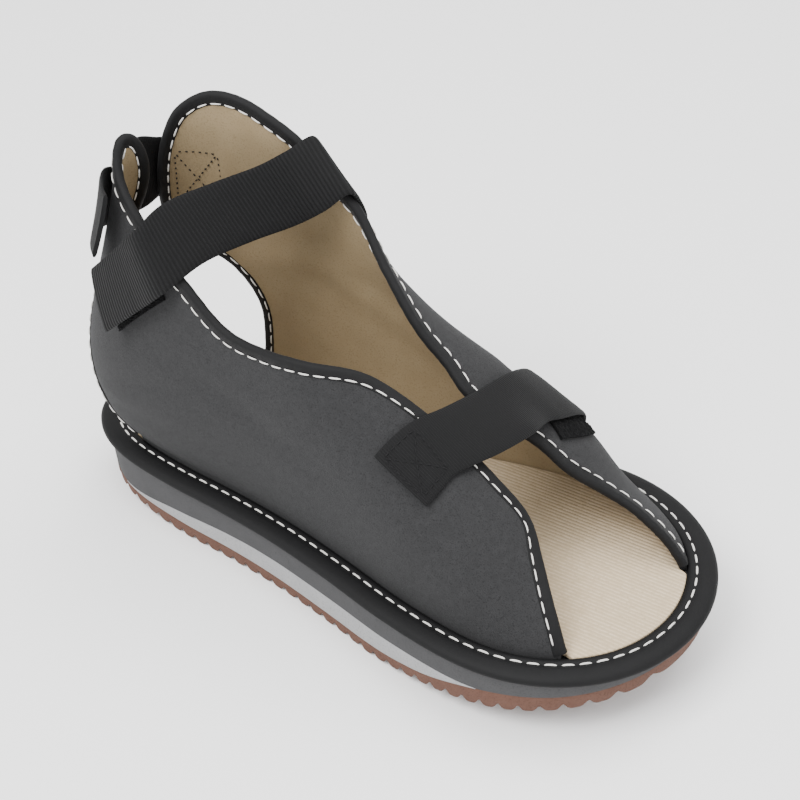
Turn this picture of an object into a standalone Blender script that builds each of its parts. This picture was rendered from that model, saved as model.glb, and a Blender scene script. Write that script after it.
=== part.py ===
"""Rocker bottom cast shoe: a wide rocker platform, an open upper of two quarters and three straps.

Frame: +X to the toe, +Y to the shoe's left, +Z up, with the tread's flat run on the ground plane.
"""
import math

import bmesh
import bpy
import numpy as np
from mathutils import Vector, geometry

MM = 0.001

# Driving sizes
STITCH_LENGTH = 258.0 * MM    # heel to toe along the line of stitches
BALL_WIDTH = 104.0 * MM       # across the ball, stitches to stitches
PLATFORM_HEIGHT = 31.6 * MM   # ground to the top of the rim
WALL_RISE = 142.0 * MM        # slope length of the far tab, from the rim
WALL = 2.6 * MM               # foam and fabric of the quarters
CLEAR = 0.3 * MM              # clearance between pieces
BOND = 0.15 * MM              # half of the clearance between sole layers
EDGE_CLEAR = 0.5 * MM         # clearance between a quarter and its binding

# Platform
RIM_OUT = 7.7 * MM            # rim outside the stitches
RIM_IN = 3.3 * MM             # rim inside the stitches
RIM_THIN = 1.9 * MM           # rim over the lasting margin
RIM_THICK = 3.7 * MM          # rim over the midsole
LIP_SETBACK = 3.0 * MM        # midsole side behind the rim's edge
SKIRT = 4.4 * MM              # quarter below the start of its shape
SHAPE_START = 1.0 * MM        # height over the rim where the quarter starts to lean
MARGIN_WIDTH = 14.0 * MM      # lasting margin under the insole
MARGIN_THICK = 1.5 * MM
INSOLE_THICK = 1.5 * MM
INSOLE_STEP = 0.012           # turn over which the insole widens beside an open end

# Tread
TREAD_PITCH = 7.1 * MM
TREAD_DEPTH = 2.6 * MM
TREAD_START = -123.0 * MM
FLAT_FROM = -78.0 * MM
FLAT_TO = 26.0 * MM
HEEL_RISE = 6.2 * MM
TOE_RISE = 19.0 * MM
ROCKER_POWER = 1.12
WEDGE_FROM = -112.0 * MM
WEDGE_TO = 78.0 * MM

# Binding and straps
BINDING_WIDTH = 5.0 * MM
BINDING_PROUD = 0.45 * MM
BINDING_START = 1.2 * MM
STRAP_THICK = 1.8 * MM
PATCH_THICK = 1.2 * MM
ANKLE_STRAP_WIDTH = 25.0 * MM
FOREFOOT_STRAP_WIDTH = 25.0 * MM
HEEL_STRAP_WIDTH = 30.0 * MM
ANKLE_PATCH_WIDTH = 12.0 * MM
FOREFOOT_PATCH_WIDTH = 30.0 * MM

NEAR = -1
FAR = 1

# Fineness: points along the quarters' edges, and the spacing of points on their walls
NEAR_STEPS = 70
FAR_STEPS = 84
CELL = 9.0 * MM

# Footprint: turn from heel (0) to toe (1), fullness as a share of half the ball width
FOOTPRINT = [
    (0.000, 0.942), (0.150, 0.868), (0.300, 0.708), (0.375, 0.663), (0.450, 0.688),
    (0.525, 0.794), (0.600, 0.968), (0.750, 1.340), (0.900, 1.528), (1.000, 1.554),
]

# Last: turn, then the wall's lean in degrees (inward is positive) at shares of WALL_RISE
LEAN_AT = (0.00, 0.13, 0.26, 0.41, 0.55, 0.76, 1.00)
LAST = [
    (0.00, -40, -10, 12, 28, 35, 34, 24),
    (0.12, -52, -12, 8, 17, 22, 23, 16),
    (0.22, -47, -11, 3, 9, 13, 14, 4),
    (0.35, -22, -8, 2, 5, 6, 5, -1),
    (0.43, -14, -5, 2, 5, 8, 8, 4),
    (0.465, -12, -4, 2, 6, 13, 19, 22),
    (0.50, -9, -2, 3, 10, 31, 54, 60),
    (0.56, -8, 0, 8, 35, 68, 80, 85),
    (0.62, -6, 4, 25, 62, 80, 86, 88),
    (0.68, 0, 15, 50, 74, 84, 88, 88),
    (0.75, 20, 45, 68, 80, 86, 88, 88),
    (0.85, 30, 50, 65, 75, 80, 85, 88),
    (1.00, 30, 50, 65, 75, 80, 85, 88),
]

# Spine: turn, and where along the stitch length (from its middle) the wall leans to
SPINE = [
    (0.00, -0.302), (0.12, -0.295), (0.22, -0.271), (0.35, -0.194), (0.50, 0.008),
    (0.62, 0.171), (0.75, 0.295), (0.85, 0.333), (1.00, 0.341),
]

# Edges of the quarters: turn, rise as a share of WALL_RISE
NEAR_EDGE = [
    (0.200, 0.000), (0.140, 0.141), (0.065, 0.401), (0.030, 0.704), (0.035, 0.901), (0.090, 0.993),
    (0.170, 0.979), (0.235, 0.880), (0.295, 0.782), (0.350, 0.662), (0.405, 0.556), (0.480, 0.556),
    (0.540, 0.570), (0.600, 0.528), (0.665, 0.458), (0.727, 0.352), (0.765, 0.232), (0.795, 0.099),
    (0.812, 0.000),
]
FAR_EDGE = [
    (0.298, 0.000), (0.309, 0.190), (0.308, 0.324), (0.280, 0.430), (0.225, 0.500), (0.172, 0.606),
    (0.150, 0.746), (0.158, 0.859), (0.196, 0.937), (0.240, 0.979), (0.290, 1.000), (0.340, 0.979),
    (0.385, 0.923), (0.425, 0.845), (0.455, 0.787), (0.482, 0.722), (0.517, 0.680), (0.570, 0.627),
    (0.605, 0.613), (0.640, 0.570), (0.672, 0.500), (0.720, 0.387), (0.772, 0.261), (0.853, 0.162),
    (0.897, 0.056), (0.913, 0.000),
]

# Sole side: along as a share of the stitch length from its middle, heights as shares of PLATFORM_HEIGHT
SOLE_SIDE = [
    # along, midsole underside, outsole top
    (-0.530, 0.320, 0.320),
    (-0.434, 0.255, 0.250),
    (-0.310, 0.375, 0.212),
    (-0.163, 0.456, 0.196),
    (0.000, 0.450, 0.162),
    (0.100, 0.462, 0.178),
    (0.202, 0.492, 0.290),
    (0.302, 0.522, 0.516),
    (0.420, 0.648, 0.648),
    (0.530, 0.780, 0.780),
]

# Straps on a wall: turn, rise as a share of WALL_RISE, extra lift in mm, slant in degrees
# Straps between walls: along, across and up as shares of the sizes, then the way across
ACROSS = (-1.0, -0.34, 0.34, 1.0)
ANKLE_NEAR = [(0.240, 0.540, 4.5, -22), (0.288, 0.640, 3.0, -26), (0.322, 0.715, 2.2, -30)]
ANKLE_FREE = [
    (-0.240, -0.185, 0.763, -0.58, 0.00, 0.80), (-0.214, 0.000, 0.764, -0.60, 0.00, 0.80),
    (-0.170, 0.110, 0.790, -0.60, 0.00, 0.80), (-0.132, 0.160, 0.832, -0.68, 0.08, 0.73),
    (-0.105, 0.234, 0.864, -0.77, 0.25, 0.59),
]
ANKLE_FAR = [(0.428, 0.775, 1.0, -62), (0.424, 0.700, 0.2, -72), (0.420, 0.590, 0.2, -80), (0.415, 0.490, 0.2, -84)]
ANKLE_PATCH = [(0.247, 0.480, -25), (0.275, 0.540, -26), (0.300, 0.592, -27), (0.320, 0.632, -28)]
FOREFOOT_NEAR = [(0.595, 0.350, 0.0, -64), (0.603, 0.400, 0.0, -62), (0.612, 0.452, 0.0, -60)]
FOREFOOT_FREE = [
    (0.197, -0.105, 0.412, -0.92, 0.05, 0.42), (0.213, 0.040, 0.405, -0.93, 0.05, 0.38),
]
FOREFOOT_FAR = [
    (0.644, 0.460, 0.8, -66), (0.644, 0.390, 0.3, -72), (0.640, 0.310, 0.3, -80), (0.634, 0.230, 0.3, -88),
    (0.628, 0.160, 0.2, -94),
]
FOREFOOT_PATCH = [(0.656, 0.410, -70), (0.656, 0.345, -75), (0.653, 0.280, -82), (0.648, 0.220, -90)]
HEEL_FAR = [(0.300, 0.720, 0.0, 0), (0.255, 0.735, 0.0, 0), (0.210, 0.755, 0.4, 0), (0.172, 0.770, 1.2, 0)]
HEEL_FREE = [(-0.407, 0.060, 0.757, 0.08, 0.0, 1.0)]
HEEL_NEAR = [(0.110, 0.785, 1.0, 2), (0.165, 0.780, 2.0, 6), (0.215, 0.770, 4.0, 12), (0.245, 0.762, 6.0, 15)]

COLOURS = {
    "rubber_brown": (0.27, 0.16, 0.12, 0.75),
    "foam_white": (0.62, 0.62, 0.62, 0.7),
    "foam_grey": (0.14, 0.14, 0.14, 0.7),
    "rim_black": (0.03, 0.03, 0.03, 0.8),
    "lining_beige": (0.6, 0.5, 0.36, 0.9),
    "upper_grey": (0.075, 0.075, 0.078, 0.85),
    "binding_black": (0.03, 0.03, 0.032, 0.8),
    "webbing_black": (0.028, 0.028, 0.03, 0.85),
    "hook_black": (0.012, 0.012, 0.012, 0.95),
}


def clear_scene():
    for old in list(bpy.data.objects):
        bpy.data.objects.remove(old, do_unlink=True)


def material(name):
    made = bpy.data.materials.get(name)
    if made is None:
        made = bpy.data.materials.new(name)
        made.use_nodes = True
        red, green, blue, rough = COLOURS[name]
        shader = made.node_tree.nodes["Principled BSDF"]
        shader.inputs["Base Color"].default_value = (red, green, blue, 1.0)
        shader.inputs["Roughness"].default_value = rough
        shader.inputs["Metallic"].default_value = 0.0
    return made


def solid(name, points, faces, finish, smooth=True):
    mesh = bpy.data.meshes.new(name)
    mesh.from_pydata([tuple(point) for point in points], [], faces)
    shape = bmesh.new()
    shape.from_mesh(mesh)
    bmesh.ops.recalc_face_normals(shape, faces=shape.faces)
    if shape.calc_volume(signed=True) < 0:
        bmesh.ops.reverse_faces(shape, faces=shape.faces)
    shape.to_mesh(mesh)
    shape.free()
    if smooth:
        mesh.shade_smooth()
        mesh.set_sharp_from_angle(angle=math.radians(40))
    made = bpy.data.objects.new(name, mesh)
    mesh.materials.append(material(finish))
    bpy.context.collection.objects.link(made)
    return made


def smooth_through(knots, values, at):
    """Cubic curve through a table's rows; values may hold several columns."""
    knots = np.asarray(knots, float)
    values = np.asarray(values, float)
    at = np.clip(np.asarray(at, float), knots[0], knots[-1])
    slope = np.gradient(values, knots, axis=0)
    row = np.clip(np.searchsorted(knots, at, side="right") - 1, 0, len(knots) - 2)
    span = knots[row + 1] - knots[row]
    part = (at - knots[row]) / span
    if values.ndim > 1:
        part = part[..., None]
        span = span[..., None]
    low, high = values[row], values[row + 1]
    low_slope, high_slope = slope[row] * span, slope[row + 1] * span
    squared, cubed = part**2, part**3
    return ((2 * cubed - 3 * squared + 1) * low + (cubed - 2 * squared + part) * low_slope
            + (3 * squared - 2 * cubed) * high + (cubed - squared) * high_slope)


def curve_through(rows, count):
    """Evenly spaced points on a smooth curve through the rows of a table."""
    rows = np.asarray(rows, float)
    dense = smooth_through(np.arange(len(rows)), rows, np.linspace(0, len(rows) - 1, 600))
    return dense, resample(dense, count)


def resample(points, count):
    walked = np.concatenate([[0.0], np.cumsum(np.linalg.norm(np.diff(points, axis=0), axis=1))])
    at = np.linspace(0, walked[-1], count)
    return np.stack([np.interp(at, walked, column) for column in points.T], -1)


# The foot's outline at the stitches, moved out by a distance
def outline(turn, out=0.0):
    turn = np.asarray(turn, float)

    def at(share):
        full = smooth_through([row[0] for row in FOOTPRINT], [row[1] for row in FOOTPRINT],
                              np.abs(np.where(share > 1, 2 - share, share)))
        angle = np.pi * share
        return -STITCH_LENGTH / 2 * np.cos(angle), np.sin(angle) * full * BALL_WIDTH / 2

    step = 0.001
    along, width = at(turn)
    along_after, width_after = at(turn + step)
    along_before, width_before = at(turn - step)
    run, drift = along_after - along_before, width_after - width_before
    size = np.hypot(run, drift)
    return along - drift / size * out, width + run / size * out


def loop_outline(count, out):
    """The closed outline, heel to toe on the far side and back on the near side."""
    turns = np.linspace(0, 1, count + 1)
    reach = out if callable(out) else (lambda side, turn: np.full_like(turn, out))
    along, width = outline(turns, reach(FAR, turns))
    near_turns = turns[-2:0:-1]
    near_along, near_width = outline(near_turns, reach(NEAR, near_turns))
    return list(zip(along, width)) + list(zip(near_along, -near_width))


# The walls of the last, worked out once on a fine grid
GRID_TURNS = np.linspace(0, 1, 201)
GRID_RISES = np.linspace(0, 1.15, 116)


def last_grid():
    table = np.asarray(LAST, float)
    columns = smooth_through(table[:, 0], table[:, 1:], GRID_TURNS)
    lean = np.radians(smooth_through(LEAN_AT, columns.T, GRID_RISES).T)
    step = np.diff(GRID_RISES) * WALL_RISE
    zero = np.zeros((len(GRID_TURNS), 1))
    inward = np.concatenate([zero, np.cumsum((np.sin(lean[:, 1:]) + np.sin(lean[:, :-1])) / 2 * step, 1)], 1)
    upward = np.concatenate([zero, np.cumsum((np.cos(lean[:, 1:]) + np.cos(lean[:, :-1])) / 2 * step, 1)], 1)
    along, width = outline(GRID_TURNS, -RIM_IN - CLEAR)
    spine = smooth_through([row[0] for row in SPINE], [row[1] for row in SPINE], GRID_TURNS) * STITCH_LENGTH
    reach = np.hypot(along - spine, width)
    grid = np.empty((len(GRID_TURNS), len(GRID_RISES), 3))
    grid[..., 0] = along[:, None] - ((along - spine) / reach)[:, None] * inward
    grid[..., 1] = width[:, None] - (width / reach)[:, None] * inward
    grid[..., 2] = PLATFORM_HEIGHT + SHAPE_START + upward
    return grid


LAST_GRID = last_grid()
BASE_WALK = np.concatenate([[0.0], np.cumsum(np.linalg.norm(np.diff(LAST_GRID[:, 0], axis=0), axis=1))])


def on_grid(walk, rise):
    """A point of the far wall from its walk along the base and its rise, both lengths."""
    share = rise / WALL_RISE
    i = np.interp(abs(walk), BASE_WALK, np.arange(len(BASE_WALK)))
    j = max(share, 0.0) / GRID_RISES[-1] * (len(GRID_RISES) - 1)
    i0, j0 = min(int(i), len(GRID_TURNS) - 2), min(int(j), len(GRID_RISES) - 2)
    p, q = i - i0, j - j0
    point = ((1 - p) * (1 - q) * LAST_GRID[i0, j0] + p * (1 - q) * LAST_GRID[i0 + 1, j0]
             + (1 - p) * q * LAST_GRID[i0, j0 + 1] + p * q * LAST_GRID[i0 + 1, j0 + 1])
    point = Vector((point[0], point[1], point[2] + min(rise, 0.0)))
    if walk < 0:
        point.y = -point.y
    return point


def wall_frame(side, walk, rise):
    """Point, outward normal, and the surface's two directions on a quarter's outer face."""
    step = 1.5 * MM
    here = on_grid(walk, rise)
    ahead = (on_grid(walk + step, rise) - on_grid(walk - step, rise)) / (2 * step)
    up = (on_grid(walk, rise + step) - on_grid(walk, rise - step)) / (2 * step)
    normal = ahead.cross(up).normalized()
    if side == NEAR:
        for vector in (here, ahead, up, normal):
            vector.y = -vector.y
    outward = normal if normal.dot(here - Vector((here.x * 0.7, 0, PLATFORM_HEIGHT))) > 0 else -normal
    return here, outward, ahead, up


def on_wall(side, walk, rise, lift):
    here, outward, _, _ = wall_frame(side, walk, rise)
    return here + outward * lift


def walk_of(turn):
    return np.interp(turn, GRID_TURNS, BASE_WALK)


def edge_of(rows, count):
    """A quarter's edge as walk and rise lengths, smooth and evenly spaced."""
    lengths = [(walk_of(turn), rise * WALL_RISE) for turn, rise in rows]
    return curve_through(lengths, count)[1]


def inward_step(side, edge, k, distance):
    """Walk and rise of a point that lies inside the edge, square to it on the surface."""
    before = edge[max(k - 1, 0)]
    after = edge[min(k + 1, len(edge) - 1)]
    _, outward, ahead, up = wall_frame(side, *edge[k])
    tangent = ahead * (after[0] - before[0]) + up * (after[1] - before[1])
    square = outward.cross(tangent) if side == FAR else tangent.cross(outward)
    square.normalize()
    gram = np.array([[ahead.dot(ahead), ahead.dot(up)], [ahead.dot(up), up.dot(up)]])
    share = np.linalg.solve(gram, [square.dot(ahead), square.dot(up)])
    return edge[k] + share * distance


def quarter_wall(name, side, rows, count, cell):
    """One quarter, up to where its binding starts, with its skirt in the lasting margin."""
    edge = edge_of(rows, count)
    gap = BINDING_WIDTH + EDGE_CLEAR
    inset = np.array([inward_step(side, edge, k, gap) for k in range(count)])
    inset = inset[inset[:, 1] > 0]
    first = np.array([inset[0][0], -SKIRT])
    last = np.array([inset[-1][0], -SKIRT])
    steps = max(int((last[0] - first[0]) / cell), 4)
    base = np.linspace(last, first, steps)
    low_first = np.array([first[0], 0.0])
    low_last = np.array([last[0], 0.0])
    border = np.vstack([inset, [low_last], base, [low_first]])
    inside = []
    for rise in np.arange(0.0, WALL_RISE, cell):
        for walk in np.arange(border[:, 0].min(), border[:, 0].max(), cell):
            if clear_of(border, walk, rise, cell * 0.45):
                inside.append((walk, rise))
    flat = [Vector(point) for point in border] + [Vector(point) for point in inside]
    ring = [(k, (k + 1) % len(border)) for k in range(len(border))]
    points, _, faces, *_ = geometry.delaunay_2d_cdt(flat, ring, [], 1, 1e-7)
    total = len(points)
    outer = [on_wall(side, point[0], point[1], 0.0) for point in points]
    inner = [on_wall(side, point[0], point[1], -WALL) for point in points]
    shell = [tuple(face) for face in faces] + [tuple(v + total for v in reversed(face)) for face in faces]
    shell += side_walls(faces, total)
    return solid(name, outer + inner, shell, "upper_grey")


def side_walls(faces, total):
    """Faces between the borders of a sheet and its copy."""
    edges = {}
    for face in faces:
        for k, start in enumerate(face):
            edges[(start, face[(k + 1) % len(face)])] = True
    border = [pair for pair in edges if (pair[1], pair[0]) not in edges]
    return [(b, a, a + total, b + total) for a, b in border]


def clear_of(border, walk, rise, distance):
    """True for a point inside the border and away from it."""
    inside = False
    here = np.array([walk, rise])
    for k in range(len(border)):
        a, b = border[k], border[(k + 1) % len(border)]
        if (a[1] > rise) != (b[1] > rise):
            crossing = a[0] + (rise - a[1]) / (b[1] - a[1]) * (b[0] - a[0])
            if walk < crossing:
                inside = not inside
        side = b - a
        part = np.clip(np.dot(here - a, side) / max(np.dot(side, side), 1e-12), 0, 1)
        if np.linalg.norm(here - a - part * side) < distance:
            return False
    return inside


def binding(name, side, rows, count):
    """The rounded tape along a quarter's edge, a little thicker than the quarter."""
    edge = edge_of(rows, count)
    outer, inner = BINDING_PROUD, -WALL - BINDING_PROUD
    middle = (outer + inner) / 2
    section = [
        (BINDING_WIDTH, outer - 0.2 * MM), (0.45 * BINDING_WIDTH, outer), (0.1 * BINDING_WIDTH, outer - 0.5 * MM),
        (0.0, middle), (0.1 * BINDING_WIDTH, inner + 0.5 * MM), (0.45 * BINDING_WIDTH, inner),
        (BINDING_WIDTH, inner + 0.2 * MM),
    ]
    rings = []
    for k in range(count):
        if edge[k][1] < BINDING_START:
            continue
        ring = [on_wall(side, *inward_step(side, edge, k, depth), lift) for depth, lift in section]
        rings.append(ring)
    return tube(name, rings, "binding_black")


def tube(name, rings, finish, closed=False):
    """A solid through rings of points, with flat ends unless it closes on itself."""
    size = len(rings[0])
    points = [point for ring in rings for point in ring]
    faces = []
    spans = len(rings) if closed else len(rings) - 1
    for i in range(spans):
        a, b = i * size, (i + 1) % len(rings) * size
        for j in range(size):
            k = (j + 1) % size
            faces.append((a + j, a + k, b + k, b + j))
    if not closed:
        faces.append(tuple(range(size)))
        faces.append(tuple((len(rings) - 1) * size + j for j in reversed(range(size))))
    return solid(name, points, faces, finish)


def swept_ring(name, section, finish, count):
    """A ring round the platform; the section's columns are out from the stitches and height."""
    loops = [loop_outline(count, out) for out, _ in section]
    rings = []
    for k in range(len(loops[0])):
        rings.append([Vector((*loop[k], height)) for loop, (_, height) in zip(loops, section)])
    return tube(name, rings, finish, closed=True)


def platform_rim():
    top = PLATFORM_HEIGHT
    lip = RIM_OUT - LIP_SETBACK + CLEAR
    section = [
        (-RIM_IN, top - RIM_THIN), (-RIM_IN, top - 0.5 * MM), (-0.8 * RIM_IN, top),
        (0.13 * RIM_OUT, top + 0.35 * MM), (0.6 * RIM_OUT, top + 0.1 * MM), (0.9 * RIM_OUT, top - 0.9 * MM),
        (RIM_OUT, top - 0.6 * RIM_THICK), (0.93 * RIM_OUT, top - RIM_THICK), (lip, top - RIM_THICK - 0.9 * MM),
        (lip, top - RIM_THICK), (2 * CLEAR, top - RIM_THICK), (2 * CLEAR, top - RIM_THIN),
    ]
    return swept_ring("platform_rim", section, "rim_black", 38)


def lasting_margin():
    low = PLATFORM_HEIGHT - RIM_THICK
    high = low + MARGIN_THICK
    section = [(CLEAR, low), (CLEAR, high), (-MARGIN_WIDTH, high), (-MARGIN_WIDTH, low)]
    return swept_ring("upper", section, "upper_grey", 34)


def upper():
    margin = lasting_margin()
    walls = [
        quarter_wall("near_quarter_form", NEAR, NEAR_EDGE, NEAR_STEPS, CELL),
        quarter_wall("far_quarter_form", FAR, FAR_EDGE, FAR_STEPS, CELL),
    ]
    for wall in walls:
        wall.hide_render = True
        wall.display_type = "WIRE"
        join = margin.modifiers.new("join", "BOOLEAN")
        join.operation = "UNION"
        join.solver = "EXACT"
        join.object = wall
    return margin


def insole():
    hidden = RIM_IN + CLEAR + WALL + CLEAR
    shown = RIM_IN + CLEAR
    ends = {NEAR: (NEAR_EDGE[0][0], NEAR_EDGE[-1][0]), FAR: (FAR_EDGE[0][0], FAR_EDGE[-1][0])}

    def reach(side, turn):
        first, last = ends[side]
        covered = np.clip((turn - first) / INSOLE_STEP + 0.5, 0, 1) * np.clip((last - turn) / INSOLE_STEP + 0.5, 0, 1)
        return -(shown + (hidden - shown) * covered)

    low = PLATFORM_HEIGHT - RIM_THIN
    loop = loop_outline(48, reach)
    size = len(loop)
    points = [Vector((x, y, low)) for x, y in loop] + [Vector((x, y, low + INSOLE_THICK)) for x, y in loop]
    faces = [tuple(reversed(range(size))), tuple(range(size, 2 * size))]
    faces += [(k, (k + 1) % size, (k + 1) % size + size, k + size) for k in range(size)]
    return solid("insole", points, faces, "lining_beige")


# Sole layers: slabs between two heights that change along the shoe
def layer_height(column, along):
    table = np.asarray(SOLE_SIDE, float)
    return smooth_through(table[:, 0] * STITCH_LENGTH, table[:, column] * PLATFORM_HEIGHT, along)


def ground_rise(along):
    reach = STITCH_LENGTH / 2 + RIM_OUT - LIP_SETBACK
    toe = np.clip((along - FLAT_TO) / (reach - FLAT_TO), 0, 1.1) ** ROCKER_POWER * TOE_RISE
    heel = np.clip((FLAT_FROM - along) / (reach + FLAT_FROM), 0, 1.1) ** ROCKER_POWER * HEEL_RISE
    return toe + heel


def slab(name, stations, low, high, finish):
    """Left and right edges follow the outline; low and high are heights at each station."""
    turns = np.linspace(0.004, 0.996, 400)
    along, width = outline(turns, RIM_OUT - LIP_SETBACK)
    half = np.interp(stations, along, width)
    rings = []
    for x, y, z0, z1 in zip(stations, half, low, high):
        rings.append([Vector((x, y, z0)), Vector((x, y, z1)), Vector((x, -y, z1)), Vector((x, -y, z0))])
    return tube(name, rings, finish)


def side_stations(first, last, count):
    """Stations close together at heel and toe, where the outline turns."""
    along, _ = outline(np.linspace(0.006, 0.994, count), RIM_OUT - LIP_SETBACK)
    inside = along[(along > first) & (along < last)]
    return inside


def tread_rows():
    """Stations along the tread with the share of TREAD_DEPTH cut away at each."""
    lobe = [(-0.5, 1.0), (-0.3, 0.25), (-0.13, 0.0), (0.13, 0.0), (0.3, 0.25)]
    ends, _ = outline(np.array([0.006, 0.994]), RIM_OUT - LIP_SETBACK)
    rows = []
    for k in range(-2, int((ends[1] - TREAD_START) / TREAD_PITCH) + 2):
        for place, depth in lobe:
            rows.append((TREAD_START + (k + place) * TREAD_PITCH, depth))
    rows = [row for row in rows if ends[0] + 0.6 * MM < row[0] < ends[1] - 0.6 * MM]
    known = np.array([row[0] for row in rows])
    depths = np.array([row[1] for row in rows])
    tips = [x for x in side_stations(ends[0] - MM, ends[1] + MM, 64)
            if abs(x) > 0.43 * STITCH_LENGTH and np.abs(known - x).min() > 0.5 * MM]
    stations = np.array(sorted(list(known) + tips))
    return stations, np.interp(stations, known, depths)


def outsole():
    stations, depth = tread_rows()
    low = ground_at_lobes(stations) + depth * TREAD_DEPTH
    high = layer_height(2, stations) - BOND
    return slab("outsole", stations, low, high, "rubber_brown")


def ground_at_lobes(stations):
    """Each rib's flat keeps one height, so the ribs of the flat run share one plane."""
    centre = TREAD_START + np.round((stations - TREAD_START) / TREAD_PITCH) * TREAD_PITCH
    flat = np.abs(stations - centre) < 0.2 * TREAD_PITCH
    return np.where(flat, ground_rise(centre), ground_rise(stations))


def rocker_wedge():
    stations = np.linspace(WEDGE_FROM, WEDGE_TO, 28)
    low = layer_height(2, stations) + BOND
    high = np.maximum(layer_height(1, stations) - BOND, low + 0.25 * MM)
    return slab("rocker_wedge", stations, low, high, "foam_white")


def midsole_stations():
    """The tread's stations where the midsole meets the outsole, and wider steps between."""
    stations, _ = tread_rows()
    between = (stations > WEDGE_FROM + TREAD_PITCH) & (stations < WEDGE_TO - TREAD_PITCH)
    return stations[~between | (np.arange(len(stations)) % 5 == 0)]


def midsole():
    stations = midsole_stations()
    under = np.maximum(layer_height(1, stations), layer_height(2, stations))
    beside_wedge = (stations > WEDGE_FROM - 2 * MM) & (stations < WEDGE_TO + 2 * MM)
    under = np.where(beside_wedge, np.maximum(under, layer_height(2, stations) + 0.25 * MM + 2 * BOND), under)
    high = np.full_like(stations, PLATFORM_HEIGHT - RIM_THICK - CLEAR)
    return slab("midsole", stations, under + BOND, high, "foam_grey")


# Straps: bands that follow the walls where they touch them and run free between
def ring_on_wall(side, row, width, under, shares=ACROSS):
    """Points across a strap over a quarter; row holds turn, rise, lift in mm and slant in degrees."""
    turn, rise, lift, slant = row
    walk, height = walk_of(turn), rise * WALL_RISE
    _, _, ahead, up = wall_frame(side, walk, height)
    lean = math.radians(slant)
    ring = []
    for share in shares:
        reach = share * width / 2
        ring.append(on_wall(side, walk + reach * math.sin(lean) / ahead.length,
                            height + reach * math.cos(lean) / up.length, under + lift * MM))
    return ring


def ring_free(row, width):
    """Points across a strap between the quarters; row holds the middle and the way across."""
    along, across, up, *way = row
    middle = Vector((along * STITCH_LENGTH, across * BALL_WIDTH, PLATFORM_HEIGHT + up * WALL_RISE))
    way = Vector(way).normalized()
    return [middle + way * share * width / 2 for share in ACROSS]


def strap(name, rings, count, finish="webbing_black", thick=STRAP_THICK):
    rings = np.array([[tuple(point) for point in ring] for ring in rings])
    flat = rings.reshape(len(rings), -1)
    dense = smooth_through(np.arange(len(rings)), flat, np.linspace(0, len(rings) - 1, 500))
    middle = dense.reshape(500, len(ACROSS), 3).mean(1)
    walked = np.concatenate([[0.0], np.cumsum(np.linalg.norm(np.diff(middle, axis=0), axis=1))])
    at = np.linspace(0, walked[-1], count)
    grid = np.stack([np.interp(at, walked, column) for column in dense.T], -1).reshape(count, -1, 3)
    normal = np.cross(np.gradient(grid, axis=0), np.gradient(grid, axis=1))
    normal /= np.linalg.norm(normal, axis=2, keepdims=True)
    over, below = grid + normal * thick / 2, grid - normal * thick / 2
    return tube(name, [list(map(Vector, a)) + list(map(Vector, b[::-1])) for a, b in zip(over, below)], finish)


def patch(name, side, rows, width):
    """A flat piece sewn to a quarter's outer face."""
    rows = smooth_through(np.arange(len(rows)), rows, np.linspace(0, len(rows) - 1, 6))
    shares = np.linspace(-1, 1, 2 + round(width / (8 * MM)))
    levels = (CLEAR, CLEAR + PATCH_THICK)
    faces = [[ring_on_wall(side, (row[0], row[1], 0.0, row[2]), width, level, shares) for row in rows]
             for level in levels]
    return tube(name, [low + high[::-1] for low, high in zip(*faces)], "hook_black")


def ankle_strap():
    patched = 2 * CLEAR + PATCH_THICK + STRAP_THICK / 2
    sewn = BINDING_PROUD + CLEAR + STRAP_THICK / 2
    rings = [ring_on_wall(NEAR, row, ANKLE_STRAP_WIDTH, patched) for row in ANKLE_NEAR]
    rings += [ring_free(row, ANKLE_STRAP_WIDTH) for row in ANKLE_FREE]
    rings += [ring_on_wall(FAR, row, ANKLE_STRAP_WIDTH, sewn) for row in ANKLE_FAR]
    strap("ankle_strap", rings, 34)
    patch("ankle_hook_patch", NEAR, ANKLE_PATCH, ANKLE_PATCH_WIDTH)


def forefoot_strap():
    patched = 2 * CLEAR + PATCH_THICK + STRAP_THICK / 2
    sewn = BINDING_PROUD + CLEAR + STRAP_THICK / 2
    rings = [ring_on_wall(NEAR, row, FOREFOOT_STRAP_WIDTH, sewn) for row in FOREFOOT_NEAR]
    rings += [ring_free(row, FOREFOOT_STRAP_WIDTH) for row in FOREFOOT_FREE]
    rings += [ring_on_wall(FAR, row, FOREFOOT_STRAP_WIDTH, patched) for row in FOREFOOT_FAR]
    strap("forefoot_strap", rings, 28)
    patch("forefoot_loop_patch", FAR, FOREFOOT_PATCH, FOREFOOT_PATCH_WIDTH)


def heel_strap():
    sewn = BINDING_PROUD + CLEAR + STRAP_THICK / 2
    rings = [ring_on_wall(FAR, row, HEEL_STRAP_WIDTH, sewn) for row in HEEL_FAR]
    rings += [ring_free(row, HEEL_STRAP_WIDTH) for row in HEEL_FREE]
    rings += [ring_on_wall(NEAR, row, HEEL_STRAP_WIDTH, sewn) for row in HEEL_NEAR]
    strap("heel_strap", rings, 24)


def main():
    clear_scene()
    outsole()
    rocker_wedge()
    midsole()
    platform_rim()
    insole()
    upper()
    binding("near_binding", NEAR, NEAR_EDGE, NEAR_STEPS)
    binding("far_binding", FAR, FAR_EDGE, FAR_STEPS)
    ankle_strap()
    forefoot_strap()
    heel_strap()


main()
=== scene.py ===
"""Dresses the rocker cast shoe: fabric quarters with binding and stitching, webbing straps, foam and rubber sole."""
import math

import bmesh
import bpy
import numpy as np
from mathutils import Matrix, Vector, geometry


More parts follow.
